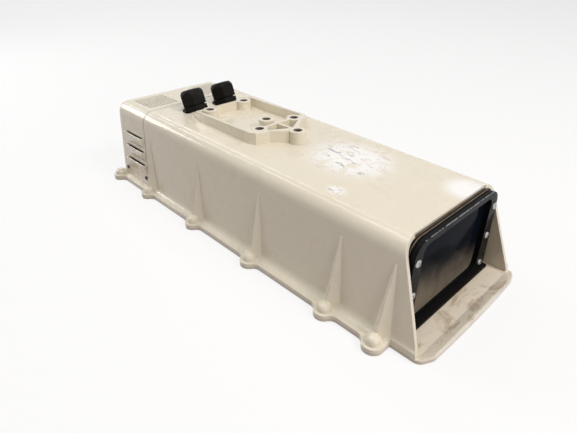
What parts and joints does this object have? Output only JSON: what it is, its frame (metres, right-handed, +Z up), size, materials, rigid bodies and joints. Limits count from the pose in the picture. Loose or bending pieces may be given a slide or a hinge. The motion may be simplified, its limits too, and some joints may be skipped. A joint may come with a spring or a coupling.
{
  "type": "security camera housing",
  "caption": "Long cast camera housing with a recessed front window, sunshield lid, ribbed walls, mounting pad, cable glands and a louvred rear hood, lying on its lid.",
  "frame": {"origin": "middle of the underside of the lid, below the centre of the overall box", "axes": "+Z up as pictured (lid down, mounting pad up), -Y out of the window, +Y to the louvred rear"},
  "size_m": [0.1986, 0.479, 0.1271],
  "materials": {
    "cream_paint": "gloss cream-white powder coat on cast aluminium",
    "cream_cover": "gloss cream-white powder coat on a thinner casting",
    "black_paint": "satin black powder coat",
    "black_plastic": "moulded black polyamide",
    "grey_plastic": "moulded dark grey plastic",
    "black_rubber": "soft black rubber",
    "clear_glass": "flat tempered glass",
    "bright_steel": "stainless steel screws",
    "dark_mesh": "fine dark wire mesh",
    "bare_aluminium": "plain aluminium sheet",
    "brass_standoff": "nickel-free brass",
    "board_green": "glass-fibre circuit board",
    "heater_metal": "extruded aluminium"
  },
  "bodies": {
    "housing": {"housing_body": "cream_paint", "rear_cover": "cream_cover", "sun_lid": "cream_paint", "lid_gasket": "black_rubber", "lid_screws": "bright_steel", "window_bezel": "black_paint", "bezel_gasket": "black_rubber", "window_spacer": "black_plastic", "window_glass": "clear_glass", "glass_gasket": "black_rubber", "window_sill_seal": "black_rubber", "window_screws": "bright_steel", "fan_frame": "grey_plastic", "fan_screws": "bright_steel", "sled_screws": "bright_steel", "power_board": "board_green", "board_standoffs": "brass_standoff", "board_screws": "bright_steel", "terminal_block": "grey_plastic", "power_module": "black_plastic", "window_heater": "heater_metal", "heater_screws": "bright_steel", "thermostat": "bright_steel", "screen_left": "dark_mesh", "screen_right": "dark_mesh", "screen_top": "dark_mesh", "screen_screws": "bright_steel", "gland_washer_left": "black_rubber", "gland_body_left": "black_plastic", "gland_seal_left": "black_rubber", "gland_locknut_left": "black_plastic", "gland_washer_right": "black_rubber", "gland_body_right": "black_plastic", "gland_seal_right": "black_rubber", "gland_locknut_right": "black_plastic"},
    "fan_rotor": {"fan_rotor": "black_plastic"},
    "gland_nut_left": {"gland_nut_left": "black_plastic"},
    "gland_nut_right": {"gland_nut_right": "black_plastic"},
    "sled": {"camera_sled": "bare_aluminium", "camera_screw": "bright_steel"}
  },
  "joints": [
    {"name": "fan_spin", "type": "hinge", "parent": "housing", "child": "fan_rotor", "pos_m": [0, 0.1714, 0.05], "axis": [0, 1, 0], "continuous": true},
    {"name": "gland_left_turn", "type": "hinge", "parent": "housing", "child": "gland_nut_left", "pos_m": [-0.0219, 0.13457, 0.11306], "axis": [0, 0.3714, 0.9285], "range_deg": [0, 720]},
    {"name": "gland_right_turn", "type": "hinge", "parent": "housing", "child": "gland_nut_right", "pos_m": [0.0219, 0.13457, 0.11306], "axis": [0, 0.3714, 0.9285], "range_deg": [0, 720]},
    {"name": "sled_slide", "type": "slide", "parent": "housing", "child": "sled", "axis": [0, 1, 0], "range_m": [-0.015, 0.015]}
  ]
}
